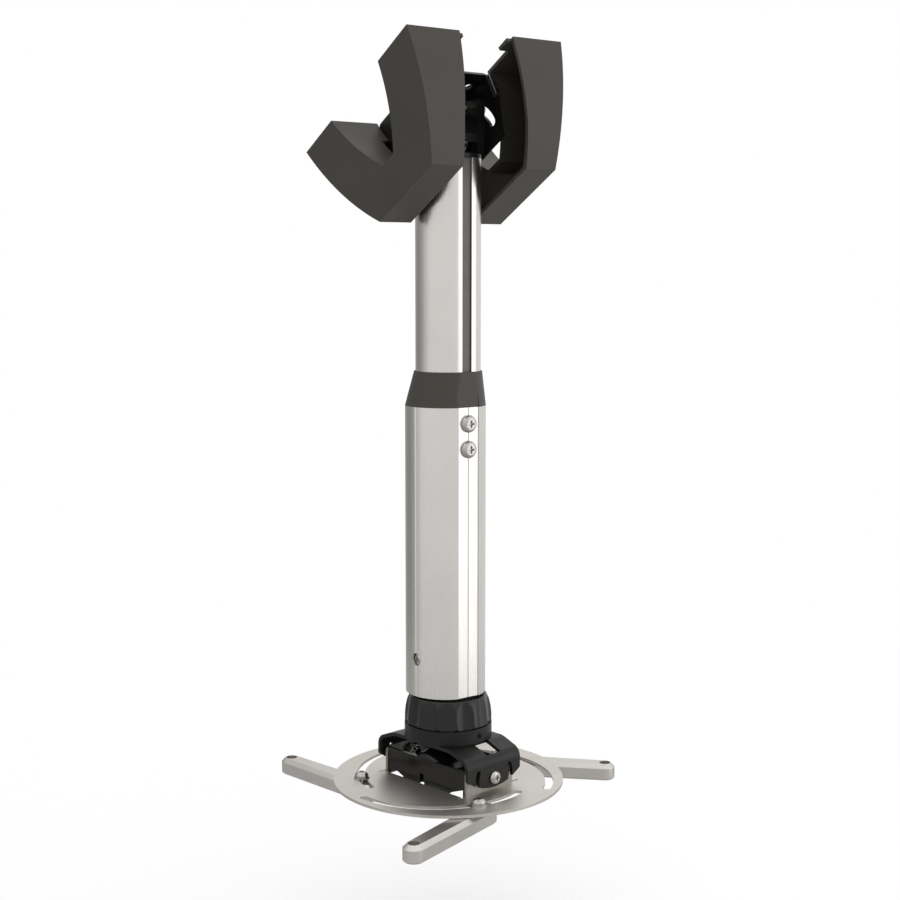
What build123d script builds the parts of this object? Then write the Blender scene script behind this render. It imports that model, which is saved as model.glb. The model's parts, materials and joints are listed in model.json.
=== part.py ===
from build123d import *
import math
import os

os.makedirs("parts", exist_ok=True)

# Telescopic ceiling mount with a tilting head, a swivel and a round plate with three arms.
# Millimetres. The origin is the middle of the ceiling plate's face, +Z is up, and +X is the
# axis that the head tilts about. The column hangs straight down from a sloping ceiling.

# Placing of the main groups
ceiling_slope = 31.0
pivot_drop = 36.0
pivot_height = 449.5
lower_turn = 7.0

# Ceiling bracket
ceiling_sheet = 3.0
ear_sheet = 2.5
ear_face = 26.0
ear_half_length = 35.0
ear_top_half_length = 31.0
ear_foot_half_length = 27.0
ear_shoulder = 7.0
ear_waist = 22.0
ear_below_pivot = 13.0
ear_corner = 3.0
ceiling_hole_circle = 52.0
ceiling_hole_radius = 3.25
tilt_limit = 85.0
lock_radius = 23.0
pivot_bolt_radius = 4.0
lock_bolt_radius = 3.0
pivot_head_radius = 7.0
pivot_head_height = 4.0
pivot_nut_across = 12.0
pivot_nut_height = 5.0
lock_head_radius = 5.2
lock_head_height = 3.2
lock_washer_radius = 6.2
lock_washer_height = 1.0
lock_nut_across = 10.0
lock_nut_height = 4.0
bolt_end = 1.5

# Clearances
running_gap = 0.08
thread_gap = 0.05
loose_gap = 0.3
seat_gap = 0.2

# Covers
cover_half_length = 71.0
cover_side_middle = (60.5, 35.5)
cover_foot_half_length = 34.5
cover_depth = 80.0
cover_wall = 2.5
cover_face_at_ceiling = 64.8
cover_face_at_foot = 52.2
notch_half_length = 33.0
notch_side_middle = (20.5, 33.0)
notch_foot_half_length = 7.0
notch_depth = 53.3
notch_wall_step = 6.5
cover_seat_depth = 18.5
side_reach = 4.2
side_reach_depth = 55.0
side_reach_half_length = 44.0
cover_tab_reach = 8.0
cover_tab_length = 10.0
clip_top = 4.6
clip_length = 17.0
clip_width = 4.0
clip_lip = 0.6

# Inner tube and its head
inner_radius = 22.8
inner_wall = 2.0
inner_flat = 21.6
channel_width = 8.0
channel_depth = 1.2
tube_overlap = 82.9
head_drop = 11.8
head_radius = 29.5
head_half_depth = 11.0
head_corner = 5.0
head_floor = 2.8
cheek_wall = 6.3
plug_depth = 32.0
head_pin_radius = 2.5
head_pin_inset = 0.5

# Outer tube and collar
bush_wall = 4.0
outer_wall = 1.6
section_shift = 3.1
flat_half_width = 8.8
flat_wall = 1.3
groove_width = 1.0
groove_depth = 0.5
side_groove = 1.3
outer_length = 204.6
collar_height = 24.3
collar_lip = 0.9
bush_length = 42.0
bush_gap_half_width = 10.0
clamp_screw_drops = (11.3, 29.1)
clamp_shank_radius = 3.0
clamp_head_radius = 6.1
clamp_head_height = 3.6
small_screw_rise = 26.6
small_screw_radius = 2.2
small_head_radius = 4.2
small_head_height = 1.6
small_screw_length = 8.0
small_seat = 1.0

# Swivel joint, knob and yoke
plug_length = 34.7
spigot_radius = 22.0
spigot_length = 16.3
knob_gap = 1.7
knob_height = 20.0
knob_outline = ((31.0, 5.4), (30.4, 11.0), (29.3, 15.8), (27.7, 19.2))
knob_edge = 0.8
knob_bore = 14.0
flute_count = 14
flute_radius = 18.0
flute_depth = 2.4
flute_lean = 6.0
ring_radius = 31.2
ring_height = 10.1
dome_room = 2.2
stem_radius = 8.0
stem_seat_rise = 6.7
stem_end_rise = 14.7
stem_nut_across = 20.0
stem_head_radius = 12.0
stem_head_height = 5.0
stem_room = 0.6
set_screw_rise = 4.8
set_screw_radius = 2.0
set_screw_inset = 1.0
set_screw_length = 8.0
yoke_sheet = 2.5
yoke_half_width = 26.0
yoke_flat_half_length = 29.0
yoke_shoulder_drop = 6.4
yoke_fold = 8.0
yoke_slope_fold = 18.0
yoke_bottom = 3.2
yoke_pivot_height = 10.0
tilt_slot_radius = 16.5
tilt_slot_width = 3.6
tilt_slot_half_angle = 22.0
yoke_arc_rise = 2.0
yoke_window_shift = 3.0
yoke_window_middle = 35.5
yoke_window_width = 14.0
yoke_window_length = 15.0
yoke_bolt_radius = 5.0
yoke_bolt_depth = 16.0
yoke_bolt_head_radius = 9.0
yoke_bolt_head_height = 2.0
tilt_screw_radius = 2.5
tilt_head_radius = 4.65
tilt_head_height = 3.0
tilt_washer_radius = 6.0
tilt_washer_height = 2.0
tilt_nut_across = 8.0
tilt_nut_height = 4.0

# Plate, lugs and cradle
plate_radius = 82.5
plate_sheet = 2.0
window_half_width = 25.8
lug_face = 42.0
lug_half_width = 22.7
lug_height = 17.5
lug_corner = 4.0
lug_hole_reach = 19.0
lug_hole_radius = 2.0
relief_length = 4.0
relief_width = 1.4
slot_radius = 67.8
slot_offset = 9.0
slot_offset_angles = (15.0, 135.0, 255.0)
slot_lead = 45.0
slot_sweep = 104.4
slot_width = 5.8
cradle_half_width = 22.0
cradle_height = 17.0
cradle_wall = 2.0
cradle_bar = 2.5
cradle_skirt_half_length = 24.0
cradle_boss_radius = 6.0
cradle_end_wall = 2.5
cradle_rail = 3.0
cradle_slot_place = 4.15
cradle_slot_width = 4.7
cradle_slot_height = 5.5
dome_top = 24.5
dome_radius = 22.25
dome_fall = 3.2
dome_edge = 5.0

# Arms
arm_names = ("a", "b", "c")
arm_slot_places = (86.5, 72.3, 74.2)
arm_headings = (92.0, 192.4, 306.3)
arm_length = 77.5
arm_height = 12.0
arm_tip_radius = 7.4
arm_root_radius = 8.8
arm_root_reach = 6.5
arm_edge = 2.9
arm_foot_edge = 1.2
arm_screw_radius = 2.5
arm_head_radius = 4.9
arm_head_height = 3.4
arm_washer_radius = 5.6
arm_washer_height = 1.0
tip_bore_radius = 2.6
tip_counterbore_radius = 3.9
tip_counterbore_depth = 5.0

# Sizes and heights that follow from these; heights are above the plate's top face
outer_radius = inner_radius + bush_wall + outer_wall
yoke_face = lug_face + tilt_washer_height + yoke_sheet
ring_bottom = dome_top + dome_room + yoke_bolt_head_height + yoke_sheet
ring_top = ring_bottom + ring_height
yoke_shoulder = ring_bottom - yoke_shoulder_drop
knob_bottom = ring_top + loose_gap
knob_top = knob_bottom + knob_height
outer_bottom = knob_top + knob_gap
spigot_bottom = outer_bottom - spigot_length
stem_seat = outer_bottom + stem_seat_rise
stem_top = outer_bottom + stem_end_rise
plug_top = outer_bottom + plug_length
outer_top = outer_bottom + outer_length
collar_top = outer_top + collar_height
inner_bottom = outer_top - tube_overlap
inner_top = pivot_height - head_drop

slope = math.radians(ceiling_slope)
along = (0, math.cos(slope), -math.sin(slope))
pivot_y = -pivot_drop * math.sin(slope)
pivot_z = -pivot_drop * math.cos(slope)
ceiling = Plane(origin=(0, 0, 0), x_dir=(1, 0, 0), z_dir=(0, math.sin(slope), math.cos(slope)))
base = Plane(origin=(0, pivot_y, pivot_z - pivot_height))


def ear_side(x):
    """The plane of an ear at x: its x runs along the ceiling and its y points at the ceiling."""
    return Plane(origin=(x, 0, 0), x_dir=along, z_dir=(1, 0, 0))


def level(height, turn=0.0):
    """A horizontal plane on the column's axis, at a height above the plate's top face."""
    return base.offset(height).rotated((0, 0, turn))


def lower(height=0.0):
    """A horizontal plane of the lower group, which is turned about the column."""
    return level(height, lower_turn)


def facing(place, x_dir, z_dir, origin=(0, 0, 0)):
    """A plane given in the own directions of the plane place."""
    start = place.from_local_coords(Vector(*origin))
    x_axis = place.from_local_coords(Vector(*x_dir)) - place.origin
    z_axis = place.from_local_coords(Vector(*z_dir)) - place.origin
    return Plane(origin=start, x_dir=x_axis, z_dir=z_axis)


def column_side(x):
    """The plane across the tilt axis at x, from the pivot, with its y up the column."""
    return Plane(origin=(x, pivot_y, pivot_z), x_dir=(0, 1, 0), z_dir=(1, 0, 0))


def add_turned(place, points, mode=Mode.ADD):
    """Turns an outline of radius and height about the normal of the plane place."""
    section = Plane(origin=place.origin, x_dir=place.x_dir, z_dir=-place.y_dir)
    with BuildSketch(section) as profile:
        with BuildLine():
            Polyline(*points, close=True)
        make_face()
    revolve(profile.sketch, axis=Axis(place.origin, place.z_dir), mode=mode)


def add_screw(place, shank_radius, shank_length, head_radius, head_height, flat_head=False):
    """A screw whose head stands on the plane place and whose shank goes through it."""
    crown = head_radius * 0.55
    shoulder = (head_radius * 0.86, head_height * 0.75)
    cross_length = head_radius * 0.84
    cross_width = head_radius * 0.22
    cross_depth = head_height * 0.6
    head_side = [(head_radius, head_height * 0.35)]
    if not flat_head:
        head_side.append(shoulder)
    shank = [(0, -shank_length), (shank_radius, -shank_length), (shank_radius, 0)]
    add_turned(place, shank + [(head_radius, 0)] + head_side + [(crown, head_height), (0, head_height)])
    with BuildSketch(place.offset(head_height)) as cross:
        Rectangle(cross_length, cross_width)
        Rectangle(cross_width, cross_length)
    extrude(cross.sketch, amount=-cross_depth, mode=Mode.SUBTRACT)


def add_hole(place, radius, depth, mode=Mode.SUBTRACT):
    """A round hole from the plane place down to a depth, or a round post with another mode."""
    with BuildSketch(place) as ring:
        Circle(radius)
    extrude(ring.sketch, amount=-depth, mode=mode)


def add_nut(place, bore_radius, across, height):
    """A hexagonal nut that stands on the plane place."""
    with BuildSketch(place) as nut:
        RegularPolygon(across / 2, 6, major_radius=False)
        Circle(bore_radius, mode=Mode.SUBTRACT)
    extrude(nut.sketch, amount=height)


def add_washer(place, bore_radius, outer, height):
    """A round washer that stands on the plane place."""
    with BuildSketch(place) as washer:
        Circle(outer)
        Circle(bore_radius, mode=Mode.SUBTRACT)
    extrude(washer.sketch, amount=height)


def add_flatted_circle(radius, flat, shift=0.0, mode=Mode.ADD):
    """A circle, moved by shift, whose -Y side is cut by a flat at a distance from the axis."""
    with BuildSketch(mode=Mode.PRIVATE) as shape:
        with Locations((0, shift)):
            Circle(radius)
        with Locations((0, -flat)):
            Rectangle(2 * radius, radius, align=(Align.CENTER, Align.MAX), mode=Mode.SUBTRACT)
    add(shape.sketch, mode=mode)


def draw_arc(radius, start, sweep, centre=(0, 0)):
    """An arc by itself, which a slot then follows."""
    with BuildLine() as path:
        CenterArc(centre, radius, start, sweep)
    return path.edge()


def save(part, name):
    """Names a finished piece and writes it to its own file."""
    part.part.label = name
    export_step(part.part, f"parts/{name}.step")


# Ceiling bracket: one folded sheet with two ears, each with the pivot hole and the arc slot.
ear_outline = (
    (ear_top_half_length, 0),
    (ear_half_length, -ear_shoulder),
    (ear_half_length, -ear_waist),
    (ear_foot_half_length, -pivot_drop - ear_below_pivot),
)
ear_points = list(ear_outline) + [(-t, n) for t, n in reversed(ear_outline)]
slot_end = tilt_limit + math.degrees(loose_gap / lock_radius)
lock_path = draw_arc(lock_radius, 90 - slot_end, 2 * slot_end, (0, -pivot_drop))
with BuildPart() as ceiling_bracket:
    with BuildSketch(ear_side(-ear_face)):
        with BuildLine():
            Polyline(*ear_points, close=True)
        make_face()
    extrude(amount=2 * ear_face)
    with BuildSketch(ear_side(-ear_face + ear_sheet)):
        with Locations((0, -ceiling_sheet)):
            Rectangle(4 * ear_half_length, 2 * pivot_drop, align=(Align.CENTER, Align.MAX))
    extrude(amount=2 * (ear_face - ear_sheet), mode=Mode.SUBTRACT)
    fold_edges = ceiling_bracket.edges().filter_by(Axis.X, reverse=True)
    fold_edges = fold_edges.filter_by(lambda e: abs(e.center().X) > ear_face - ear_sheet / 2)
    fold_edges = fold_edges.filter_by(lambda e: abs(ceiling.to_local_coords(e.center()).Z) < 0.01)
    fillet(fold_edges, ear_corner)
    with BuildSketch(ceiling):
        with PolarLocations(ceiling_hole_circle / 2, 4, 45):
            Circle(ceiling_hole_radius)
    extrude(amount=-ceiling_sheet, mode=Mode.SUBTRACT)
    with BuildSketch(ear_side(-ear_face)):
        with Locations((0, -pivot_drop)):
            Circle(pivot_bolt_radius + running_gap)
        SlotArc(lock_path, 2 * (lock_bolt_radius + loose_gap))
    extrude(amount=2 * ear_face, mode=Mode.SUBTRACT)
save(ceiling_bracket, "ceiling_bracket")

# Bright clips on the ears' ends, which hold the covers.
with BuildPart() as cover_clips:
    with BuildSketch(ear_side(-ear_face - clip_lip)):
        for end in (-1, 1):
            with Locations((end * ear_half_length, -clip_top)):
                Rectangle(clip_width, clip_length, align=(Align.CENTER, Align.MAX))
    extrude(amount=2 * (ear_face + clip_lip))
    with BuildSketch(ear_side(-ear_face + ear_sheet + clip_lip)):
        Rectangle(4 * ear_half_length, 2 * pivot_drop)
    extrude(amount=2 * (ear_face - ear_sheet - clip_lip), mode=Mode.SUBTRACT)
    add(ceiling_bracket.part, mode=Mode.SUBTRACT)
save(cover_clips, "cover_clips")


def draw_cover(place, inset, reach):
    """The cover's outline, drawn in by inset on its sides, with its ends at reach from the ceiling."""
    middle_t, middle_n = cover_side_middle
    notch_t, notch_n = notch_side_middle
    foot = cover_foot_half_length - inset
    floor = -cover_depth + inset
    notch_floor = -notch_depth - inset
    with BuildSketch(place) as outline:
        with BuildLine():
            for end in (-1, 1):
                outer_top_point = (end * (cover_half_length - inset), reach)
                notch_top_point = (end * (notch_half_length + inset), reach)
                outer_middle = (end * (middle_t - inset), -middle_n)
                notch_middle = (end * (notch_t + inset), -notch_n)
                ThreePointArc(outer_top_point, outer_middle, (end * foot, floor))
                ThreePointArc(notch_top_point, notch_middle, (end * notch_foot_half_length, notch_floor))
                Line(notch_top_point, outer_top_point)
            Line((-foot, floor), (foot, floor))
            Line((-notch_foot_half_length, notch_floor), (notch_foot_half_length, notch_floor))
        make_face()
    return outline.sketch


def draw_notch(place, growth):
    """The part of the cover's notch below its seat on the ears, grown by growth."""
    notch_t, notch_n = notch_side_middle
    notch_floor = -notch_depth - growth
    with BuildSketch(place) as outline:
        with BuildLine():
            for end in (-1, 1):
                notch_top_point = (end * (notch_half_length + growth), 0)
                notch_middle = (end * (notch_t + growth), -notch_n)
                ThreePointArc(notch_top_point, notch_middle, (end * notch_foot_half_length, notch_floor))
            Line((-notch_foot_half_length, notch_floor), (notch_foot_half_length, notch_floor))
            Line((-notch_half_length - growth, 0), (notch_half_length + growth, 0))
        make_face()
        with Locations((0, -cover_seat_depth)):
            below = (Align.CENTER, Align.MAX)
            Rectangle(4 * notch_half_length, 2 * notch_depth, align=below, mode=Mode.INTERSECT)
    return outline.sketch


# Covers: two shells open towards the ears, deeper at the ceiling than at the foot. They sit on
# the clips. Below this seat the notch's wall stops short of the rim, which leaves room for the
# bolt heads to swing. Beyond the ears the side walls reach further in near the ceiling, with a
# small tab at the corner.
face_lean = math.atan((cover_face_at_ceiling - cover_face_at_foot) / cover_depth)
rim = ear_face + clip_lip
cover_reach = cover_face_at_ceiling - rim
side_lean = math.atan(side_reach / side_reach_depth)
for cover_name, side in (("left_cover", -1), ("right_cover", 1)):
    lean_out = Vector(0, -math.sin(face_lean), side * math.cos(face_lean))
    face_normal = ear_side(0).from_local_coords(lean_out)
    face_plane = Plane(origin=(side * cover_face_at_ceiling, 0, 0), x_dir=along, z_dir=face_normal)
    rim_plane = ear_side(side * rim)
    side_normal = ear_side(0).from_local_coords(Vector(0, math.sin(side_lean), side * math.cos(side_lean)))
    side_plane = Plane(origin=(side * (rim - side_reach), 0, 0), x_dir=along, z_dir=side_normal)
    with BuildPart() as hollow:
        extrude(draw_cover(rim_plane, cover_wall, -cover_wall), amount=side * cover_reach)
        split(bisect_by=face_plane.offset(-cover_wall), keep=Keep.BOTTOM)
    with BuildPart() as side_walls:
        extrude(draw_cover(rim_plane, 0, 0), amount=-side * side_reach)
        extrude(draw_cover(rim_plane, cover_wall, 0), amount=-side * side_reach, mode=Mode.SUBTRACT)
        with BuildSketch(rim_plane) as middle:
            Rectangle(2 * side_reach_half_length, 4 * cover_depth)
        extrude(middle.sketch, amount=-side * side_reach, mode=Mode.SUBTRACT)
        split(bisect_by=side_plane, keep=Keep.TOP)
    with BuildPart() as cover:
        extrude(draw_cover(rim_plane, 0, 0), amount=side * cover_reach)
        split(bisect_by=face_plane, keep=Keep.BOTTOM)
        add(hollow.part, mode=Mode.SUBTRACT)
        relief = draw_notch(rim_plane, cover_wall + loose_gap)
        extrude(relief, amount=side * notch_wall_step, mode=Mode.SUBTRACT)
        add(side_walls.part)
        with BuildSketch(rim_plane) as tabs:
            tab_middle = cover_half_length - cover_wall - cover_tab_length / 2
            with Locations((-tab_middle, -cover_wall / 2), (tab_middle, -cover_wall / 2)):
                Rectangle(cover_tab_length, cover_wall)
        extrude(tabs.sketch, amount=-side * cover_tab_reach)
    save(cover, cover_name)

# Tilt head: a casting on the inner tube, with two cheeks between the ears and a plug below.
cheek_face = ear_face - ear_sheet - seat_gap
head_seat = inner_top - pivot_height
with BuildPart() as tilt_head:
    with BuildSketch(column_side(-cheek_face)):
        with Locations((0, head_seat)):
            Rectangle(2 * head_half_depth, head_radius - head_seat, align=(Align.CENTER, Align.MIN))
        fillet(vertices().group_by(Axis.Y)[-1], head_corner)
    extrude(amount=2 * cheek_face)
    with BuildSketch(level(inner_top)):
        Circle(inner_radius)
    extrude(amount=head_floor)
    with BuildSketch(column_side(-cheek_face + cheek_wall)):
        with Locations((0, head_seat + head_floor)):
            Rectangle(4 * head_half_depth, 2 * head_radius, align=(Align.CENTER, Align.MIN))
    extrude(amount=2 * (cheek_face - cheek_wall), mode=Mode.SUBTRACT)
    with BuildSketch(level(inner_top)):
        plug_flat = inner_flat - channel_depth - inner_wall - running_gap
        add_flatted_circle(inner_radius - inner_wall - running_gap, plug_flat)
    extrude(amount=-plug_depth)
    add_hole(column_side(cheek_face), pivot_bolt_radius + running_gap, 2 * cheek_face)
    lock_place = facing(column_side(cheek_face), (1, 0, 0), (0, 0, 1), (0, lock_radius, 0))
    add_hole(lock_place, lock_bolt_radius + running_gap, 2 * cheek_face)
    pin_place = facing(column_side(inner_radius), (1, 0, 0), (0, 0, 1), (0, head_seat - plug_depth / 2, 0))
    add_hole(pin_place, head_pin_radius + running_gap, 2 * inner_radius)
save(tilt_head, "tilt_head")

with BuildPart() as head_pin:
    pin_length = 2 * (inner_radius - head_pin_inset)
    add_hole(pin_place.offset(-head_pin_inset), head_pin_radius, pin_length, Mode.ADD)
save(head_pin, "head_pin")

# Pivot bolts and lock bolts: one of each on either side, with its nut on the cheek's inner face.
nut_face = cheek_face - cheek_wall
with BuildPart() as pivot_bolts:
    for side in (-1, 1):
        place = Plane(origin=(side * ear_face, pivot_y, pivot_z), x_dir=(0, 1, 0), z_dir=(side, 0, 0))
        reach = ear_face - nut_face + pivot_nut_height + bolt_end
        add_screw(place, pivot_bolt_radius, reach, pivot_head_radius, pivot_head_height)
save(pivot_bolts, "pivot_bolts")

with BuildPart() as pivot_nuts:
    for side in (-1, 1):
        place = Plane(origin=(side * nut_face, pivot_y, pivot_z), x_dir=(0, 1, 0), z_dir=(-side, 0, 0))
        add_nut(place, pivot_bolt_radius + thread_gap, pivot_nut_across, pivot_nut_height)
save(pivot_nuts, "pivot_nuts")

lock_z = pivot_z + lock_radius
with BuildPart() as lock_washers:
    for side in (-1, 1):
        place = Plane(origin=(side * ear_face, pivot_y, lock_z), x_dir=(0, 1, 0), z_dir=(side, 0, 0))
        add_washer(place, lock_bolt_radius + thread_gap, lock_washer_radius, lock_washer_height)
save(lock_washers, "lock_washers")

with BuildPart() as lock_bolts:
    for side in (-1, 1):
        seat = ear_face + lock_washer_height
        place = Plane(origin=(side * seat, pivot_y, lock_z), x_dir=(0, 1, 0), z_dir=(side, 0, 0))
        reach = seat - nut_face + lock_nut_height + bolt_end
        add_screw(place, lock_bolt_radius, reach, lock_head_radius, lock_head_height)
save(lock_bolts, "lock_bolts")

with BuildPart() as lock_nuts:
    for side in (-1, 1):
        place = Plane(origin=(side * nut_face, pivot_y, lock_z), x_dir=(0, 1, 0), z_dir=(-side, 0, 0))
        add_nut(place, lock_bolt_radius + thread_gap, lock_nut_across, lock_nut_height)
save(lock_nuts, "lock_nuts")

# Inner tube: round, with a flat towards -Y and a channel down the middle of the flat.
with BuildPart() as inner_tube:
    with BuildSketch(level(inner_bottom)):
        add_flatted_circle(inner_radius, inner_flat)
        with Locations((0, -inner_flat)):
            Rectangle(channel_width, 2 * channel_depth, mode=Mode.SUBTRACT)
        bore_flat = inner_flat - channel_depth - inner_wall
        add_flatted_circle(inner_radius - inner_wall, bore_flat, mode=Mode.SUBTRACT)
    extrude(amount=inner_top - inner_bottom)
    add_hole(pin_place, head_pin_radius + running_gap, 2 * inner_radius)
save(inner_tube, "inner_tube")

# Outer tube: the two profiles are off centre, so the wall of the bush is thickest at +Y.
outer_bore_flat = inner_flat + loose_gap
outer_flat = outer_bore_flat + flat_wall
with BuildPart() as outer_tube:
    with BuildSketch(level(outer_bottom)):
        with Locations((0, section_shift)):
            Circle(outer_radius)
        with Locations((0, -outer_flat)):
            Rectangle(2 * flat_half_width, outer_radius, align=(Align.CENTER, Align.MAX), mode=Mode.SUBTRACT)
            Rectangle(groove_width, 2 * groove_depth, mode=Mode.SUBTRACT)
        with Locations((-outer_radius, 0), (outer_radius, 0)):
            Rectangle(side_groove, side_groove, rotation=45, mode=Mode.SUBTRACT)
        add_flatted_circle(outer_radius - outer_wall, outer_bore_flat, section_shift, Mode.SUBTRACT)
    extrude(amount=outer_length)
    for drop in clamp_screw_drops:
        clamp_place = facing(level(outer_top - drop), (1, 0, 0), (0, -1, 0), (0, -outer_flat, 0))
        add_hole(clamp_place, clamp_shank_radius + thread_gap, 2 * flat_wall)
    foot_screw_level = level(outer_bottom + small_screw_rise)
    foot_screw_place = facing(foot_screw_level, (0, 1, 0), (-1, 0, 0), (-outer_radius, 0, 0))
    add_hole(foot_screw_place, small_head_radius + seat_gap, 2 * outer_wall)
save(outer_tube, "outer_tube")

# Collar: a moulding that eases the outer tube in to the inner one, with its bush inside.
with BuildPart() as collar:
    with BuildSketch(level(outer_top)):
        with Locations((0, section_shift)):
            Circle(outer_radius)
    with BuildSketch(level(collar_top)):
        Circle(inner_radius + running_gap + collar_lip)
    loft(ruled=True)
    with BuildSketch(level(outer_top)):
        with Locations((0, -outer_flat)):
            Rectangle(2 * flat_half_width, outer_radius, align=(Align.CENTER, Align.MAX))
    extrude(amount=collar_height, mode=Mode.SUBTRACT)
    with BuildSketch(level(outer_top)):
        with Locations((0, section_shift)):
            Circle(outer_radius - outer_wall - running_gap)
        with Locations((0, -inner_radius)):
            Rectangle(2 * bush_gap_half_width, inner_radius, mode=Mode.SUBTRACT)
    extrude(amount=-bush_length)
    with BuildSketch(level(outer_top - bush_length)):
        add_flatted_circle(inner_radius + running_gap, inner_flat + running_gap)
    extrude(amount=bush_length + collar_height, mode=Mode.SUBTRACT)
save(collar, "collar")

with BuildPart() as clamp_screws:
    clamp_reach = outer_flat - inner_flat + channel_depth - loose_gap
    for drop in clamp_screw_drops:
        clamp_place = facing(level(outer_top - drop), (1, 0, 0), (0, -1, 0), (0, -outer_flat, 0))
        add_screw(clamp_place, clamp_shank_radius, clamp_reach, clamp_head_radius, clamp_head_height)
save(clamp_screws, "clamp_screws")

# Swivel plug: it fills the outer tube's foot, and its threaded spigot takes the lock knob.
head_seat_depth = outer_wall + small_seat
plug_radius = outer_radius - outer_wall - running_gap
with BuildPart() as swivel_plug:
    with BuildSketch(level(outer_bottom)):
        add_flatted_circle(plug_radius, outer_bore_flat - running_gap, section_shift)
    extrude(amount=plug_length)
    add_hole(level(outer_bottom), spigot_radius, spigot_length, Mode.ADD)
    add_hole(level(plug_top), stem_head_radius + stem_room, plug_top - stem_seat)
    add_hole(level(stem_seat), stem_radius + running_gap, stem_seat - spigot_bottom)
    add_hole(foot_screw_place, small_head_radius + seat_gap, head_seat_depth)
    add_hole(foot_screw_place, small_screw_radius + thread_gap, head_seat_depth + small_screw_length)
save(swivel_plug, "swivel_plug")

with BuildPart() as foot_screw:
    seat = foot_screw_place.offset(-head_seat_depth)
    head_size = (small_head_radius, small_head_height)
    add_screw(seat, small_screw_radius, small_screw_length, *head_size, flat_head=True)
save(foot_screw, "foot_screw")

# Lock knob: a fluted ring nut on the spigot that draws the swivel joint tight.
knob_radius = knob_outline[0][0]
knob_top_radius = knob_outline[-1][0]
with BuildPart() as lock_knob:
    knob_points = [(0, knob_bottom), (knob_radius - knob_edge, knob_bottom)]
    knob_points += [(knob_radius, knob_bottom + knob_edge)]
    knob_points += [(radius, knob_bottom + rise) for radius, rise in knob_outline]
    knob_points += [(knob_top_radius - knob_edge, knob_top), (0, knob_top)]
    add_turned(level(0), knob_points)
    with Locations(level(knob_bottom + knob_height / 2)):
        with PolarLocations(knob_radius - flute_depth + flute_radius, flute_count):
            Cylinder(flute_radius, 2 * knob_height, rotation=(0, -flute_lean, 0), mode=Mode.SUBTRACT)
    add_hole(level(knob_top), spigot_radius + loose_gap, knob_top - spigot_bottom + loose_gap)
    add_hole(level(knob_top), knob_bore, knob_height)
save(lock_knob, "lock_knob")

# Swivel ring: the top of the lower group, turned in one piece with the stem that it hangs by.
with BuildPart() as swivel_ring:
    add_hole(lower(ring_top), ring_radius, ring_height, Mode.ADD)
    add_hole(lower(stem_top), stem_radius, stem_top - ring_top, Mode.ADD)
    add_hole(lower(ring_bottom + yoke_bolt_depth), yoke_bolt_radius + thread_gap, yoke_bolt_depth)
    set_level = lower(ring_bottom + set_screw_rise)
    set_place = facing(set_level, (1, 0, 0), (0, -1, 0), (0, -ring_radius, 0))
    add_hole(set_place, set_screw_radius + thread_gap, set_screw_inset + set_screw_length)
save(swivel_ring, "swivel_ring")

with BuildPart() as ring_set_screw:
    add_hole(set_place.offset(-set_screw_inset), set_screw_radius, set_screw_length, Mode.ADD)
    with BuildSketch(set_place.offset(-set_screw_inset)):
        RegularPolygon(set_screw_radius / 2, 6)
    extrude(amount=-set_screw_radius, mode=Mode.SUBTRACT)
save(ring_set_screw, "ring_set_screw")

with BuildPart() as stem_nut:
    add_nut(lower(stem_seat + loose_gap), stem_radius + thread_gap, stem_nut_across, stem_head_height)
save(stem_nut, "stem_nut")

# Yoke: a folded strap under the ring, whose two arms hang down outside the plate's lugs.
yoke_profile = (
    (-yoke_face, -yoke_face),
    (-yoke_face, yoke_shoulder),
    (-yoke_flat_half_length, ring_bottom),
    (yoke_flat_half_length, ring_bottom),
    (yoke_face, yoke_shoulder),
    (yoke_face, -yoke_face),
)
arc_end = yoke_pivot_height + yoke_arc_rise
with BuildPart() as yoke:
    with BuildSketch(facing(lower(), (0, 1, 0), (1, 0, 0), (-yoke_half_width, 0, 0))):
        with BuildLine():
            Polyline(*yoke_profile, close=True)
        make_face()
        fillet(vertices().group_by(Axis.Y)[1], yoke_fold)
        fillet(vertices().group_by(Axis.Y)[-1], yoke_slope_fold)
        offset(amount=-yoke_sheet, kind=Kind.INTERSECTION, mode=Mode.SUBTRACT)
    extrude(amount=2 * yoke_half_width)
    with BuildSketch(facing(lower(), (1, 0, 0), (0, -1, 0), (0, 2 * yoke_face, 0))):
        with BuildLine():
            ThreePointArc((-yoke_half_width, arc_end), (0, yoke_bottom), (yoke_half_width, arc_end))
            Polyline(
                (yoke_half_width, arc_end),
                (yoke_half_width, -2 * yoke_face),
                (-yoke_half_width, -2 * yoke_face),
                (-yoke_half_width, arc_end),
            )
        make_face()
    extrude(amount=4 * yoke_face, mode=Mode.SUBTRACT)
    for side in (-1, 1):
        arm_place = facing(lower(yoke_pivot_height), (1, 0, 0), (0, side, 0), (0, side * yoke_face, 0))
        add_hole(arm_place, tilt_screw_radius + running_gap, 2 * yoke_sheet)
        with BuildSketch(arm_place):
            with PolarLocations(0, 2):
                slot_path = draw_arc(tilt_slot_radius, -tilt_slot_half_angle, 2 * tilt_slot_half_angle)
                SlotArc(slot_path, tilt_slot_width)
        extrude(amount=-2 * yoke_sheet, mode=Mode.SUBTRACT)
        with BuildSketch(lower(ring_bottom + yoke_sheet)):
            with Locations((yoke_window_shift * -side, side * yoke_window_middle)):
                Rectangle(yoke_window_width, yoke_window_length)
        extrude(amount=-4 * yoke_sheet, mode=Mode.SUBTRACT)
    add_hole(lower(ring_bottom), yoke_bolt_radius + thread_gap, 2 * yoke_sheet)
save(yoke, "yoke")

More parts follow.
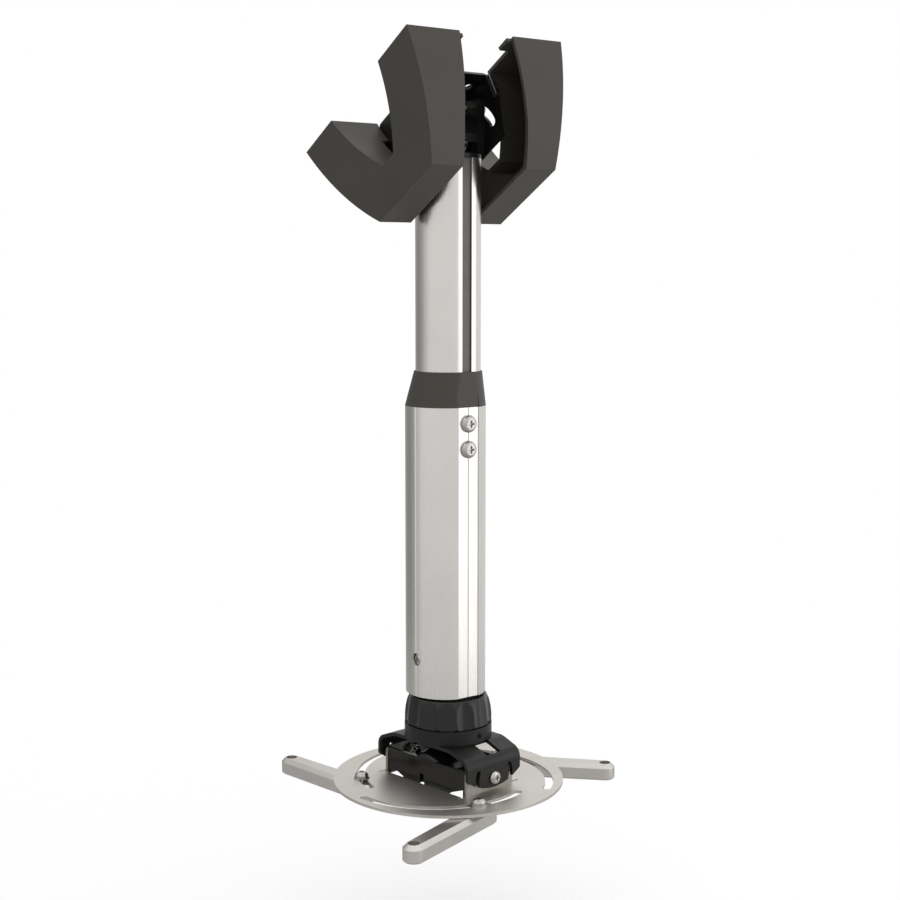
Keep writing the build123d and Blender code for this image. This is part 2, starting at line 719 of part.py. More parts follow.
with BuildPart() as yoke_bolt:
    bolt_place = facing(lower(ring_bottom - yoke_sheet), (1, 0, 0), (0, 0, -1))
    bolt_reach = yoke_sheet + yoke_bolt_depth - bolt_end
    head_size = (yoke_bolt_head_radius, yoke_bolt_head_height)
    add_screw(bolt_place, yoke_bolt_radius, bolt_reach, *head_size, flat_head=True)
save(yoke_bolt, "yoke_bolt")

# Tilt screws: one on either side, through the yoke, a washer, the lug and the cradle.
nut_seat = lug_face - plate_sheet - cradle_end_wall
tilt_place = {}
for side in (-1, 1):
    tilt_place[side] = facing(lower(yoke_pivot_height), (side, 0, 0), (0, side, 0))
with BuildPart() as tilt_screws:
    for side in (-1, 1):
        place = tilt_place[side].offset(yoke_face)
        reach = yoke_face - nut_seat + tilt_nut_height + bolt_end
        add_screw(place, tilt_screw_radius, reach, tilt_head_radius, tilt_head_height)
save(tilt_screws, "tilt_screws")

with BuildPart() as tilt_washers:
    for side in (-1, 1):
        place = tilt_place[side].offset(lug_face)
        add_washer(place, tilt_screw_radius + thread_gap, tilt_washer_radius, tilt_washer_height)
save(tilt_washers, "tilt_washers")

with BuildPart() as tilt_nuts:
    for side in (-1, 1):
        place = tilt_place[side].offset(nut_seat - tilt_nut_height)
        add_nut(place, tilt_screw_radius + thread_gap, tilt_nut_across, tilt_nut_height)
save(tilt_nuts, "tilt_nuts")


def slot_place(angle, height=0.0):
    """The plane of an arc slot, on the arc's centre, with its x towards the arc's start."""
    turn = math.radians(angle)
    centre = (slot_offset * math.cos(turn), slot_offset * math.sin(turn), 0)
    start = math.radians(angle + slot_lead)
    return facing(lower(height), (math.cos(start), math.sin(start), 0), (0, 0, 1), centre)


# Plate: a round sheet with a window, out of which two lugs are bent up, and three arc slots.
with BuildPart() as plate:
    with BuildSketch(lower()):
        Circle(plate_radius)
        Rectangle(2 * window_half_width, 2 * (lug_face - plate_sheet), mode=Mode.SUBTRACT)
        for end in (-1, 1):
            for side in (-1, 1):
                slit_end = window_half_width + relief_length
                slit_y = end * (lug_face - plate_sheet + relief_width / 2)
                with Locations((side * (slit_end + lug_half_width) / 2, slit_y)):
                    Rectangle(slit_end - lug_half_width, relief_width, mode=Mode.SUBTRACT)
    extrude(amount=-plate_sheet)
    for side in (-1, 1):
        with BuildSketch(facing(lower(), (1, 0, 0), (0, -1, 0), (0, side * (lug_face - plate_sheet / 2), 0))):
            Rectangle(2 * lug_half_width, lug_height, align=(Align.CENTER, Align.MIN))
            fillet(vertices().group_by(Axis.Y)[-1], lug_corner)
            with Locations((0, yoke_pivot_height)):
                Circle(tilt_screw_radius + thread_gap, mode=Mode.SUBTRACT)
            with Locations((-lug_hole_reach * side, yoke_pivot_height)):
                Circle(lug_hole_radius, mode=Mode.SUBTRACT)
        extrude(amount=plate_sheet / 2, both=True)
    for angle in slot_offset_angles:
        with BuildSketch(slot_place(angle)):
            SlotArc(draw_arc(slot_radius, 0, slot_sweep), slot_width)
        extrude(amount=-plate_sheet, mode=Mode.SUBTRACT)
save(plate, "plate")


def add_dome(inset, mode=Mode.ADD):
    """The cradle's barrel-shaped dome, which lies across the column, drawn in by inset."""
    axis_plane = facing(lower(dome_top - dome_radius), (1, 0, 0), (0, -1, 0))
    end = cradle_half_width - inset
    shoulder = end - dome_edge / 2
    crown = dome_radius - inset
    rim_radius = crown - dome_fall
    edge_start = rim_radius - dome_edge
    edge_reach = end - dome_edge / 7
    edge_radius = rim_radius - dome_edge / 3
    with BuildSketch(axis_plane) as profile:
        with BuildLine():
            ThreePointArc((-shoulder, rim_radius), (0, crown), (shoulder, rim_radius))
            ThreePointArc((shoulder, rim_radius), (edge_reach, edge_radius), (end, edge_start))
            ThreePointArc((-shoulder, rim_radius), (-edge_reach, edge_radius), (-end, edge_start))
            Polyline((end, edge_start), (end, 0), (-end, 0), (-end, edge_start))
        make_face()
    revolve(profile.sketch, axis=Axis(axis_plane.origin, axis_plane.x_dir), mode=mode)


# Cradle: a black saddle between the lugs: skirts along the window, a dome in the middle, bars
# that reach the lugs, and at each end a low frame with a boss for the tilt screw.
cradle_end = lug_face - plate_sheet
bar_middle = (cradle_end + cradle_skirt_half_length) / 2
bar_room = cradle_end - cradle_skirt_half_length
with BuildPart() as cradle:
    with BuildSketch(lower(-plate_sheet)):
        Rectangle(2 * cradle_half_width, 2 * cradle_end)
        Rectangle(2 * (cradle_half_width - cradle_wall), 2 * cradle_end, mode=Mode.SUBTRACT)
    extrude(amount=cradle_height + plate_sheet)
    add_dome(0)
    add_dome(cradle_wall, Mode.SUBTRACT)
    with BuildSketch(lower(dome_top - dome_radius)):
        Rectangle(2 * (cradle_half_width - cradle_wall), 2 * dome_radius)
    extrude(amount=-2 * dome_radius, mode=Mode.SUBTRACT)
    with BuildSketch(lower(-plate_sheet)):
        Rectangle(4 * plate_radius, 4 * plate_radius)
    extrude(amount=-2 * dome_radius, mode=Mode.SUBTRACT)
    with BuildSketch(facing(lower(), (0, 1, 0), (1, 0, 0), (-cradle_half_width, 0, 0))):
        for side in (-1, 1):
            with Locations((side * (bar_middle - cradle_end_wall / 2), cradle_height - cradle_bar)):
                below = (Align.CENTER, Align.MAX)
                Rectangle(bar_room - cradle_end_wall, 2 * cradle_height, align=below)
    extrude(amount=2 * cradle_half_width, mode=Mode.SUBTRACT)
    with BuildSketch(facing(lower(), (0, 1, 0), (1, 0, 0), (-cradle_half_width, 0, 0))):
        with Locations((cradle_slot_place, 0)):
            Rectangle(cradle_slot_width, 2 * cradle_slot_height)
    extrude(amount=cradle_wall, mode=Mode.SUBTRACT)
    for side in (-1, 1):
        with BuildSketch(facing(lower(), (-side, 0, 0), (0, side, 0), (0, side * cradle_end, 0))):
            foot = (Align.CENTER, Align.MIN)
            with Locations((0, -plate_sheet)):
                Rectangle(2 * cradle_half_width, plate_sheet + cradle_rail, align=foot)
                Rectangle(2 * cradle_boss_radius, plate_sheet + yoke_pivot_height, align=foot)
            with Locations((0, yoke_pivot_height)):
                Circle(cradle_boss_radius)
                Circle(tilt_screw_radius + thread_gap, mode=Mode.SUBTRACT)
        extrude(amount=-cradle_end_wall)
save(cradle, "cradle")

# Arms: three cast arms under the plate, each on its own screw in its own arc slot.
for name, angle, slot_turn, heading in zip(arm_names, slot_offset_angles, arm_slot_places, arm_headings):
    arc_place = slot_place(angle)
    turned = math.radians(slot_turn)
    screw_spot = arc_place.from_local_coords(
        Vector(slot_radius * math.cos(turned), slot_radius * math.sin(turned), 0)
    )
    screw_local = lower().to_local_coords(screw_spot)
    way = math.radians(heading)
    plate_top = facing(lower(), (math.cos(way), math.sin(way), 0), (0, 0, 1), screw_local)
    arm_top = plate_top.offset(-plate_sheet - loose_gap)
    with BuildPart() as arm:
        with BuildSketch(arm_top):
            with Locations((-arm_root_reach, 0)):
                Circle(arm_root_radius)
            with Locations((arm_length, 0)):
                Circle(arm_tip_radius)
            make_hull()
        extrude(amount=-arm_height)
        top_face = arm.faces().filter_by(Axis.Z).sort_by(Axis.Z)[-1]
        bottom_face = arm.faces().filter_by(Axis.Z).sort_by(Axis.Z)[0]
        chamfer(top_face.edges(), arm_edge)
        chamfer(bottom_face.edges(), arm_foot_edge)
        add_hole(arm_top, arm_screw_radius + running_gap, arm_height)
        tip_place = facing(arm_top, (1, 0, 0), (0, 0, 1), (arm_length, 0, 0))
        add_hole(tip_place, tip_bore_radius, arm_height)
        add_hole(tip_place, tip_counterbore_radius, tip_counterbore_depth)
    save(arm, f"arm_{name}")

    with BuildPart() as arm_washer:
        add_washer(plate_top, arm_screw_radius + thread_gap, arm_washer_radius, arm_washer_height)
    save(arm_washer, f"arm_washer_{name}")

    with BuildPart() as arm_screw:
        screw_seat = plate_top.offset(arm_washer_height)
        reach = arm_washer_height + plate_sheet + arm_height - bolt_end
        add_screw(screw_seat, arm_screw_radius, reach, arm_head_radius, arm_head_height)
    save(arm_screw, f"arm_screw_{name}")
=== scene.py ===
"""The looks of a projector ceiling mount: finishes, rounded edges, floor, light and camera."""

import json
import math

import bmesh
import bpy
from mathutils import Euler, Matrix, Vector

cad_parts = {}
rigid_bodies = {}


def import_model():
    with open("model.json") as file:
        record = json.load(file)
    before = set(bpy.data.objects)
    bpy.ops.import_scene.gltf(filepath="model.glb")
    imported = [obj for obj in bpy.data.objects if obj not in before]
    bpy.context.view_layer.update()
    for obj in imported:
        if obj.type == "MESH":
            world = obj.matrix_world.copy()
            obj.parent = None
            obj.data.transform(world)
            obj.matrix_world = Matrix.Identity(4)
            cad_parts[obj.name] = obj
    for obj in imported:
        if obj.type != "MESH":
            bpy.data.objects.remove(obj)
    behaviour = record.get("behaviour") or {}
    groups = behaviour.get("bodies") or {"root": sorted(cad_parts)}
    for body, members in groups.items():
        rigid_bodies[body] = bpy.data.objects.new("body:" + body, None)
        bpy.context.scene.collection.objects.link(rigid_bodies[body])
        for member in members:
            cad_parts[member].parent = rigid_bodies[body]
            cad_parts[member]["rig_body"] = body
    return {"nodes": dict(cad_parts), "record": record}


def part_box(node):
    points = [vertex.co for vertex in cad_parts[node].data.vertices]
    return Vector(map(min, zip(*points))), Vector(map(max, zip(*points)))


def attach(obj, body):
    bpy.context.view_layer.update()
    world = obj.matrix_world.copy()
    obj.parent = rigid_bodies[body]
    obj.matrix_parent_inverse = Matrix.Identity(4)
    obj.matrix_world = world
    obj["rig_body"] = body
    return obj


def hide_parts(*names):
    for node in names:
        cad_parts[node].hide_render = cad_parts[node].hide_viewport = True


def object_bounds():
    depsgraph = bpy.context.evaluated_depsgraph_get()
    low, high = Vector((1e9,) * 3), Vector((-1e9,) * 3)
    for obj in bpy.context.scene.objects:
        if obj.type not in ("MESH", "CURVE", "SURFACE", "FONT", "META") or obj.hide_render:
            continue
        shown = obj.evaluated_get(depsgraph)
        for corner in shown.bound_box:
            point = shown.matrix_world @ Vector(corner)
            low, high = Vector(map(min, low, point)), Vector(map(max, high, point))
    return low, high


# Sizes are in millimetres where no comment says metres, and this brings them to metres
MM = 0.001

# The photograph's camera in the part's frame: place and clipping in metres, turns in degrees
CAMERA_EYE = (-0.6475, -0.88004, -0.1145)
CAMERA_CLIP = (0.01, 50)
CAMERA_PITCH_DOWN = 6.86
CAMERA_TURN = -37.0
CAMERA_LENS = 61.8
CAMERA_SENSOR = 36.0

# Points closer than this are joined, and faces that meet flatter than this become one
MERGE_DISTANCE = 0.02
FLAT_ANGLE = math.radians(0.6)

# Edges sharper than the first angle are rounded; past the second the shading keeps an edge
EDGE_ANGLE = math.radians(28)
SMOOTH_ANGLE = math.radians(50)
EDGE_SEGMENTS = 2
ROUND_PROFILE = 0.5

# How far each part's edges are rounded
EDGE_WIDTHS = {
    "left_cover": 0.9,
    "right_cover": 0.9,
    "ceiling_bracket": 0.3,
    "cover_clips": 0.15,
    "tilt_head": 0.5,
    "inner_tube": 0.15,
    "outer_tube": 0.15,
    "collar": 0.3,
    "lock_knob": 0.4,
    "swivel_ring": 0.4,
    "yoke": 0.3,
    "plate": 0.25,
    "cradle": 0.5,
    "arm_a": 0.5,
    "arm_b": 0.5,
    "arm_c": 0.5,
    "clamp_screws": 0.2,
    "tilt_screws": 0.2,
    "arm_screw_a": 0.2,
    "arm_screw_b": 0.2,
    "arm_screw_c": 0.2,
    "pivot_bolts": 0.2,
    "lock_bolts": 0.2,
}

# The plate's thickness, and how far the cradle on it is turned about the column at rest
PLATE_SHEET = 2.0
CRADLE_TURN = math.radians(7)

# The cradle's thin walls: their foot's height above the plate's top, and their rounded edges
WALL_FOOT = -1.6
WALL_EDGE_WIDTH = 0.25

# The channel in the inner tube, where shade is painted: how far its faces lie behind the tube's
# flat, and off its middle
CHANNEL_DEPTHS = (0.24, 1.32)
CHANNEL_HALF_WIDTH = 4.1

# A noise texture: its roughness, and the span that holds most of its values
NOISE_ROUGHNESS = 0.55
NOISE_SPAN = (0.3, 0.7)

# The floor: its size, its drop below the part and the radii where it fades out, all in metres,
# then its shade and how much of a plain white glow is added to it where the camera sees it
FLOOR_SIZE = 40
FLOOR_DROP = 0.1
FLOOR_FADE = (0.3, 1.0)
FLOOR_SHADE = 0.75
FLOOR_GLOW = 0.46

# The surround's strength: on the side behind the part, then on all others, first as a light
# and then as reflections show it
DARK_SIDE = (-0.26, 0.96, 0.0)
DARK_STRENGTH = 0.3
LIGHT_STRENGTH = 0.62
GLOSS_STRENGTH = 0.95

# It dims over this span of the cosine of a direction's angle to the dark side
DARK_SPAN = (0.55, 1.0)

# Its share of that strength grows with a direction's rise, from below to straight up
RISE_SPAN = (-0.5, 1.0)
RISE_SHARES = (0.7, 1.32)

# The key lamp, in metres and watts
KEY_PLACE = (1.1, -1.35, -0.3)
KEY_AIM = (0, -0.02, -0.3)
KEY_WIDTH = 1.2
KEY_HEIGHT = 1.8
KEY_POWER = 6


def add_object(name, data):
    """A new object in the scene, made of a mesh, a lamp or a camera."""
    thing = bpy.data.objects.new(name, data)
    bpy.context.scene.collection.objects.link(thing)
    return thing


def add_node(tree, kind, inputs=None, **settings):
    """A new node with its settings, and with its inputs linked to sockets or set to values."""
    node = tree.nodes.new(kind)
    for name, value in settings.items():
        setattr(node, name, value)
    for name, value in (inputs or {}).items():
        if isinstance(value, bpy.types.NodeSocket):
            tree.links.new(value, node.inputs[name])
        else:
            node.inputs[name].default_value = value
    return node


def map_range(tree, source, span, target=(0, 1), **settings):
    """Maps a socket's values from a span to a target span, and holds them at its ends."""
    inputs = {
        "Value": source,
        "From Min": span[0],
        "From Max": span[1],
        "To Min": target[0],
        "To Max": target[1],
    }
    return add_node(tree, "ShaderNodeMapRange", inputs, **settings).outputs["Result"]


def mix_shaders(tree, factor, first, second):
    """The first shader where the factor is 0, and the second where it is 1."""
    inputs = {"Fac": factor, 1: first, 2: second}
    return add_node(tree, "ShaderNodeMixShader", inputs).outputs["Shader"]


def seen_directly(tree, ray):
    """1 where a light path's ray is the camera's own or has passed through glass, else 0."""
    inputs = {0: ray["Is Camera Ray"], 1: ray["Is Transmission Ray"]}
    return add_node(tree, "ShaderNodeMath", inputs, operation="MAXIMUM").outputs["Value"]


def grey(shade):
    """A colour without hue, as a node takes it."""
    return (shade, shade, shade, 1)


def tidy_mesh(mesh, width):
    """Joins a mesh's split points, clears its flat faces and rounds its sharp edges."""
    bm = bmesh.new()
    bm.from_mesh(mesh)
    bmesh.ops.remove_doubles(bm, verts=bm.verts, dist=MERGE_DISTANCE * MM)
    bmesh.ops.dissolve_limit(
        bm, angle_limit=FLAT_ANGLE, verts=bm.verts, edges=bm.edges, use_dissolve_boundaries=False
    )
    sharp = [
        edge for edge in bm.edges if edge.is_manifold and edge.calc_face_angle(0) > EDGE_ANGLE
    ]
    bmesh.ops.bevel(
        bm,
        geom=sharp,
        offset=width * MM,
        offset_type="OFFSET",
        segments=EDGE_SEGMENTS,
        profile=ROUND_PROFILE,
        affect="EDGES",
        clamp_overlap=True,
    )
    bm.normal_update()
    bm.to_mesh(mesh)
    bm.free()
    mesh.polygons.foreach_set("use_smooth", [True] * len(mesh.polygons))
    mesh.set_sharp_from_angle(angle=SMOOTH_ANGLE)


def even_shading(piece):
    """Lets the large flat faces keep their own direction where they meet rounded edges."""
    weighting = piece.modifiers.new("weighted_normals", "WEIGHTED_NORMAL")
    weighting.keep_sharp = True


def soften(node, source):
    """A copy of a part with its edges rounded, which stands in for the part's node."""
    mesh = source.data.copy()
    mesh.name = f"{node}_mesh"
    piece = add_object(f"{node}_finish", mesh)
    tidy_mesh(mesh, EDGE_WIDTHS[node])
    even_shading(piece)
    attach(piece, source["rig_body"])
    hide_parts(node)
    return piece


class Finish:
    """A material, with the few groups of nodes that the finishes share."""

    def __init__(self, name, color, roughness, metallic=0.0, specular=0.5):
        self.material = bpy.data.materials.new(name)
        self.material.use_nodes = True
        self.tree = self.material.node_tree
        self.shader = self.tree.nodes["Principled BSDF"]
        self.shader.inputs["Base Color"].default_value = (*color, 1)
        self.shader.inputs["Roughness"].default_value = roughness
        self.shader.inputs["Metallic"].default_value = metallic
        self.shader.inputs["Specular IOR Level"].default_value = specular
        self.color = color
        self.roughness = roughness
        self.coordinates = add_node(self.tree, "ShaderNodeTexCoord")

    def noise(self, scale, detail, stretch=(1, 1, 1)):
        """A noise over the surface; scale is in waves a metre, before the stretch."""
        inputs = {"Vector": self.coordinates.outputs["Object"], "Scale": stretch}
        mapping = add_node(self.tree, "ShaderNodeMapping", inputs)
        inputs = {
            "Vector": mapping.outputs["Vector"],
            "Scale": scale,
            "Detail": detail,
            "Roughness": NOISE_ROUGHNESS,
        }
        return add_node(self.tree, "ShaderNodeTexNoise", inputs).outputs["Fac"]

    def shade(self, share):
        """The colour with its brightness multiplied by a share, as a node takes it."""
        return (*(value * share for value in self.color), 1)

    def vary_color(self, source, amount):
        """Makes the colour lighter and darker by amount, as a share of itself."""
        inputs = {
            "Factor": map_range(self.tree, source, NOISE_SPAN),
            "A": self.shade(1 - amount),
            "B": self.shade(1 + amount),
        }
        mix = add_node(self.tree, "ShaderNodeMix", inputs, data_type="RGBA")
        self.tree.links.new(mix.outputs["Result"], self.shader.inputs["Base Color"])

    def vary_roughness(self, source, amount):
        """Makes the roughness rise and fall by amount."""
        limits = (self.roughness - amount, self.roughness + amount)
        varied = map_range(self.tree, source, NOISE_SPAN, limits)
        self.tree.links.new(varied, self.shader.inputs["Roughness"])

    def bump(self, source, distance, strength):
        """Raises and sinks the surface by a distance in millimetres."""
        inputs = {"Height": source, "Distance": distance * MM, "Strength": strength}
        bump = add_node(self.tree, "ShaderNodeBump", inputs)
        self.tree.links.new(bump.outputs["Normal"], self.shader.inputs["Normal"])


def brushed_tube():
    """Anodised aluminium, drawn along the column, with long faint lines."""
    finish = Finish("tube_aluminium", (0.72, 0.7, 0.67), roughness=0.28, metallic=1.0)
    lines = finish.noise(scale=900, detail=3, stretch=(1, 1, 0.02))
    clouds = finish.noise(scale=14, detail=2)
    finish.vary_color(clouds, amount=0.03)
    finish.vary_roughness(lines, amount=0.05)
    finish.bump(lines, distance=0.004, strength=0.6)
    return finish.material


def brushed_plate():
    """Silver sheet, brushed one way, slightly warm."""
    finish = Finish("plate_metal", (0.6, 0.575, 0.535), roughness=0.42, metallic=1.0)
    lines = finish.noise(scale=700, detail=3, stretch=(0.03, 1, 1))
    clouds = finish.noise(scale=18, detail=2)
    finish.vary_color(clouds, amount=0.035)
    finish.vary_roughness(lines, amount=0.06)
    finish.bump(lines, distance=0.004, strength=0.6)
    return finish.material


def cast_silver():
    """Satin silver castings with a fine grain."""
    finish = Finish("arm_silver", (0.6, 0.575, 0.545), roughness=0.36, metallic=1.0)
    grain = finish.noise(scale=1600, detail=2)
    clouds = finish.noise(scale=40, detail=3)
    finish.vary_color(clouds, amount=0.04)
    finish.vary_roughness(clouds, amount=0.05)
    finish.bump(grain, distance=0.01, strength=0.5)
    return finish.material


def bright_metal(name, color, roughness):
    """Plated screws and bare steel strips."""
    finish = Finish(name, color, roughness, metallic=1.0)
    smudges = finish.noise(scale=220, detail=3)
    finish.vary_roughness(smudges, amount=0.06)
    finish.vary_color(smudges, amount=0.05)
    finish.bump(smudges, distance=0.01, strength=0.3)
    return finish.material


def shade_painted_metal(name, color, roughness, metallic=1.0):
    """Metal that is neither brushed nor polished, with faint clouds, used in darker colours to
    paint shade.
    """
    finish = Finish(name, color, roughness, metallic)
    clouds = finish.noise(scale=60, detail=2)
    finish.vary_color(clouds, amount=0.05)
    return finish.material


def moulded_plastic(name, color, roughness, grain_depth):
    """Satin mouldings with a fine spark texture."""
    finish = Finish(name, color, roughness, specular=0.38)
    grain = finish.noise(scale=2200, detail=2)
    clouds = finish.noise(scale=30, detail=3)
    finish.vary_color(clouds, amount=0.06)
    finish.vary_roughness(clouds, amount=0.05)
    finish.bump(grain, grain_depth, strength=0.6)
    return finish.material


def black_coat(name, color, roughness, peel_depth):
    """Powder coat: black, satin, with a fine orange peel."""
    finish = Finish(name, color, roughness, specular=0.32)
    peel = finish.noise(scale=900, detail=2)
    clouds = finish.noise(scale=45, detail=3)
    finish.vary_color(clouds, amount=0.1)
    finish.vary_roughness(clouds, amount=0.06)
    finish.bump(peel, peel_depth, strength=0.7)
    return finish.material


def make_materials():
    """One material for each slot of the record: name, colour, roughness and depth of grain."""
    coat = (0.007, 0.0066, 0.006)
    return {
        "bracket_black": black_coat("bracket_black", coat, 0.38, 0.02),
        "clip_steel": bright_metal("clip_steel", (0.45, 0.44, 0.42), 0.3),
        "cover_charcoal": moulded_plastic("cover_charcoal", (0.066, 0.059, 0.0495), 0.5, 0.012),
        "cast_black": black_coat("cast_black", coat, 0.42, 0.03),
        "screw_chrome": bright_metal("screw_chrome", (0.46, 0.45, 0.435), 0.12),
        "screw_black": black_coat("screw_black", (0.02, 0.02, 0.02), 0.35, 0.01),
        "tube_aluminium": brushed_tube(),
        "knob_black": moulded_plastic("knob_black", (0.007, 0.0065, 0.006), 0.2, 0.004),
        "plate_metal": brushed_plate(),
        "cradle_black": moulded_plastic("cradle_black", (0.006, 0.0057, 0.0052), 0.2, 0.005),
        "arm_silver": cast_silver(),
    }


def assign(piece, material):
    """Gives a piece one material all over."""
    piece.data.materials.clear()
    piece.data.materials.append(material)
    for polygon in piece.data.polygons:
        polygon.material_index = 0


def assign_where(piece, material, is_there):
    """Gives a second material to the faces of a piece whose middle is in a place."""
    piece.data.materials.append(material)
    for polygon in piece.data.polygons:
        if is_there(polygon.center):
            polygon.material_index = 1


def paint_shade_in_channel(piece):
    """Paints shade into the channel down the inner tube's flat: a darker colour than the tube's,
    with a rougher, less metallic finish.
    """
    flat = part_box("inner_tube")[0][1]
    near, far = (flat + depth * MM for depth in CHANNEL_DEPTHS)
    half_width = CHANNEL_HALF_WIDTH * MM
    # The darker colour here is painted shade, standing in for the shade that falls into the
    # channel
    shaded_channel_finish = shade_painted_metal("tube_channel_painted_shade", (0.15, 0.144, 0.134), roughness=0.55, metallic=0.7)
    assign_where(piece, shaded_channel_finish, lambda spot: near < spot.y < far and abs(spot.x) < half_width)


def plate_top():
    """The height of the plate's upper face, in metres."""
    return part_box("plate")[0][2] + PLATE_SHEET * MM


def paint_shade_on_lugs(piece):
    """Paints shade on the two lugs bent up from the plate: its own metal in a darker colour, as
    rough as its top.
    """
    lowest = plate_top() + PLATE_SHEET / 2 * MM
    # The lugs take the plate's metal in a darker colour: painted shade
    shaded_lug_finish = shade_painted_metal("plate_lugs_painted_shade", (0.36, 0.345, 0.32), roughness=0.42)
    assign_where(piece, shaded_lug_finish, lambda spot: spot.z > lowest)


def dress_parts(frame, materials):
    """Rounds the edges of the parts that show, gives every part its finish, and paints shade into
    the inner tube's channel and onto the plate's lugs.
    """
    for row in frame["record"]["subparts"]:
        node, slot = row["node"], row["material_slot"]
        piece = frame["nodes"][node]
        if node in EDGE_WIDTHS:
            piece = soften(node, piece)
        assign(piece, materials[slot])
        if node == "inner_tube":
            paint_shade_in_channel(piece)
        if node == "plate":
            paint_shade_on_lugs(piece)


def in_cradle(across, along, height):
    """A point given in the cradle's own directions and millimetres, above the plate's top."""
    low, high = (Vector(corner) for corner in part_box("plate"))
    middle = (low + high) / 2
    place = Matrix.Rotation(CRADLE_TURN, 3, "Z") @ Vector((across * MM, along * MM, 0))
    return (middle.x + place.x, middle.y + place.y, plate_top() + height * MM)


def add_wall(name, outline, outside, thickness, material):
    """A thin moulded wall of the cradle; its outline is along it and upwards."""
    mesh = bpy.data.meshes.new(name)
    bm = bmesh.new()
    inside = outside - math.copysign(thickness, outside)
    rings = []
    for across in (outside, inside):
        rings.append([bm.verts.new(in_cradle(across, along, height)) for along, height in outline])
    outer, inner = rings
    bm.faces.new(outer)
    bm.faces.new(list(reversed(inner)))
    for i in range(len(outline)):
        after = (i + 1) % len(outline)
        bm.faces.new([outer[after], outer[i], inner[i], inner[after]])
    bmesh.ops.recalc_face_normals(bm, faces=bm.faces)
    bm.to_mesh(mesh)
    bm.free()
    tidy_mesh(mesh, WALL_EDGE_WIDTH)
    piece = add_object(name, mesh)
    even_shading(piece)
    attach(piece, "tilting_plate")
    assign(piece, material)


def add_corner_webs(material):
    """Closes the cradle's four corners, above a gap that rises away from its skirts."""
    half_width = 21.9
    thickness = 1.5
    skirt_end = 23.6
    frame_end = 37.9
    gap_height = 3.6
    top = 14.8
    corner = [(skirt_end, WALL_FOOT), (frame_end, gap_height), (frame_end, top), (skirt_end, top)]
    for side, side_name in ((-1, "left"), (1, "right")):
        for end, end_name in ((-1, "front"), (1, "back")):
            outline = [(end * along, height) for along, height in corner]
            name = f"cradle_web_{side_name}_{end_name}"
            add_wall(name, outline, side * half_width, thickness, material)


def add_slot_back(material):
    """Backs the slot in the cradle's skirt, on the skirt's inside."""
    outside = -20.1
    thickness = 1.0
    start = 0.4
    end = 7.9
    top = 7.6
    cut = 1.0
    outline = [
        (start, WALL_FOOT),
        (end, WALL_FOOT),
        (end, top - cut),
        (end - cut, top),
        (start + cut, top),
        (start, top - cut),
    ]
    add_wall("cradle_slot_back", outline, outside, thickness, material)


def white_floor():
    """White that takes the part's shadow near it, and has none far off."""
    material = bpy.data.materials.new("floor_white")
    material.use_nodes = True
    tree = material.node_tree
    tree.nodes.clear()
    output = add_node(tree, "ShaderNodeOutputMaterial")
    diffuse = add_node(tree, "ShaderNodeBsdfDiffuse", {"Color": grey(FLOOR_SHADE)})
    seen = seen_directly(tree, add_node(tree, "ShaderNodeLightPath").outputs)
    glow = add_node(tree, "ShaderNodeMath", {0: seen, 1: FLOOR_GLOW}, operation="MULTIPLY")
    lifted = add_node(tree, "ShaderNodeEmission", {"Strength": glow.outputs["Value"]})
    white = add_node(tree, "ShaderNodeEmission")
    clear = add_node(tree, "ShaderNodeBsdfTransparent")
    point = add_node(tree, "ShaderNodeTexCoord").outputs["Object"]
    radius = add_node(tree, "ShaderNodeVectorMath", {0: point}, operation="LENGTH")
    fade = map_range(tree, radius.outputs["Value"], FLOOR_FADE, interpolation_type="SMOOTHSTEP")
    shaders = {0: diffuse.outputs["BSDF"], 1: lifted.outputs["Emission"]}
    near = add_node(tree, "ShaderNodeAddShader", shaders).outputs["Shader"]
    far = mix_shaders(tree, seen, clear.outputs["BSDF"], white.outputs["Emission"])
    surface = mix_shaders(tree, fade, near, far)
    tree.links.new(surface, output.inputs["Surface"])
    return material


def make_floor(box):
    """A white floor below the hanging part."""
    low, high = (Vector(corner) for corner in box)
    middle = (low + high) / 2
    place = (middle.x, middle.y, low.z - FLOOR_DROP)
    bpy.ops.mesh.primitive_plane_add(size=FLOOR_SIZE, location=place)
    floor = bpy.context.object
    floor.name = "floor"
    floor.data.materials.append(white_floor())


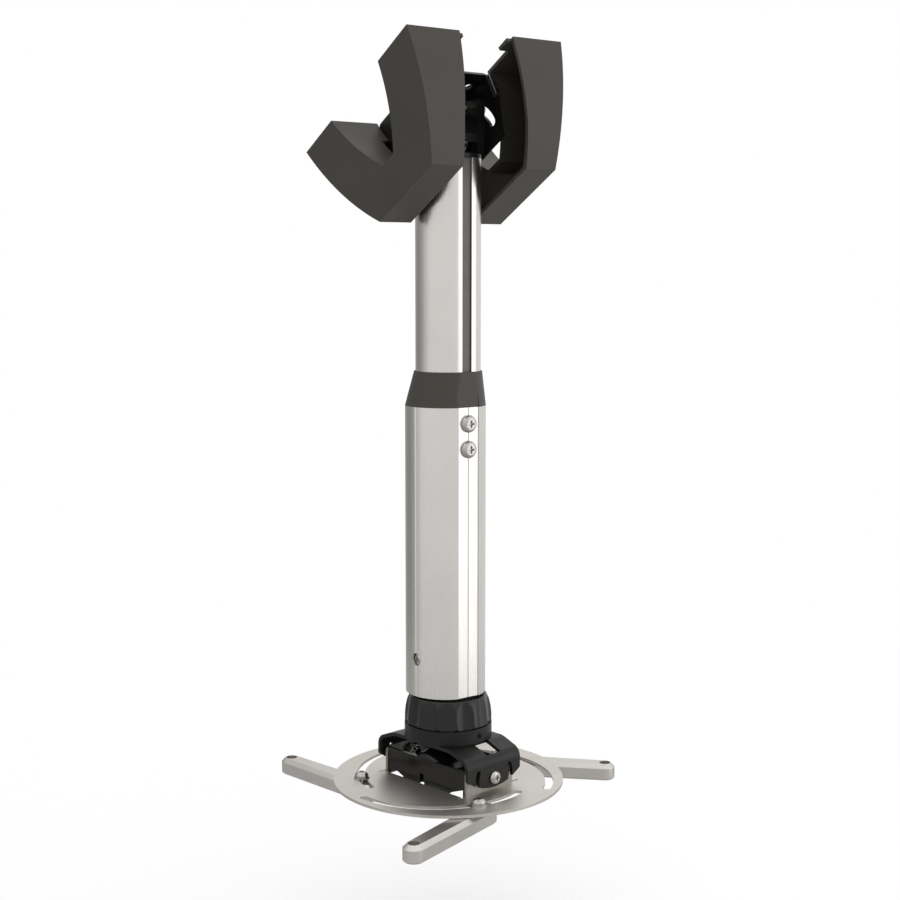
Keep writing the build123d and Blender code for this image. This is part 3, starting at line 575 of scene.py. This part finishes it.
def add_surround(tree, strength):
    """A world shade, brighter above, and bright all round but for the side behind the part."""
    direction = add_node(tree, "ShaderNodeTexCoord").outputs["Generated"]
    inputs = {0: direction, 1: Vector(DARK_SIDE).normalized()}
    towards = add_node(tree, "ShaderNodeVectorMath", inputs, operation="DOT_PRODUCT")
    strengths = (strength, DARK_STRENGTH)
    around = map_range(tree, towards.outputs["Value"], DARK_SPAN, strengths)
    parts = add_node(tree, "ShaderNodeSeparateXYZ", {"Vector": direction})
    upward = map_range(tree, parts.outputs["Z"], RISE_SPAN, RISE_SHARES)
    level = add_node(tree, "ShaderNodeMath", {0: around, 1: upward}, operation="MULTIPLY")
    inputs = {"Color": grey(1), "Strength": level.outputs["Value"]}
    return add_node(tree, "ShaderNodeBackground", inputs).outputs["Background"]


def make_world():
    """A soft surround, dimmer behind the part, and plain white where the camera looks past it."""
    world = bpy.data.worlds.new("studio")
    bpy.context.scene.world = world
    world.use_nodes = True
    tree = world.node_tree
    tree.nodes.clear()
    output = add_node(tree, "ShaderNodeOutputWorld")
    soft = add_surround(tree, LIGHT_STRENGTH)
    gloss = add_surround(tree, GLOSS_STRENGTH)
    white = add_node(tree, "ShaderNodeBackground", {"Color": grey(1)})
    ray = add_node(tree, "ShaderNodeLightPath").outputs
    unseen = mix_shaders(tree, ray["Is Glossy Ray"], soft, gloss)
    seen = seen_directly(tree, ray)
    result = mix_shaders(tree, seen, unseen, white.outputs["Background"])
    tree.links.new(result, output.inputs["Surface"])


def add_key_lamp():
    """A broad soft panel to the camera's right, turned to the middle of the column."""
    data = bpy.data.lights.new("key", "AREA")
    data.shape = "RECTANGLE"
    data.size = KEY_WIDTH
    data.size_y = KEY_HEIGHT
    data.energy = KEY_POWER
    lamp = add_object("key", data)
    lamp.location = KEY_PLACE
    way = Vector(KEY_AIM) - Vector(KEY_PLACE)
    lamp.rotation_euler = way.to_track_quat("-Z", "Y").to_euler()
    lamp.visible_camera = False


def make_camera():
    """The photograph's view of the part."""
    data = bpy.data.cameras.new("camera")
    data.lens = CAMERA_LENS
    data.sensor_width = CAMERA_SENSOR
    data.sensor_fit = "HORIZONTAL"
    data.clip_start, data.clip_end = CAMERA_CLIP
    camera = add_object("camera", data)
    camera.location = CAMERA_EYE
    camera.rotation_euler = Euler(
        (math.radians(90 - CAMERA_PITCH_DOWN), 0, math.radians(CAMERA_TURN)), "XYZ"
    )
    bpy.context.scene.camera = camera


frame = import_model()
cad_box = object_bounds()
make_camera()
finishes = make_materials()
dress_parts(frame, finishes)
add_corner_webs(finishes["cradle_black"])
add_slot_back(finishes["cradle_black"])
make_floor(cad_box)
make_world()
add_key_lamp()
bpy.context.scene.view_settings.view_transform = "Standard"
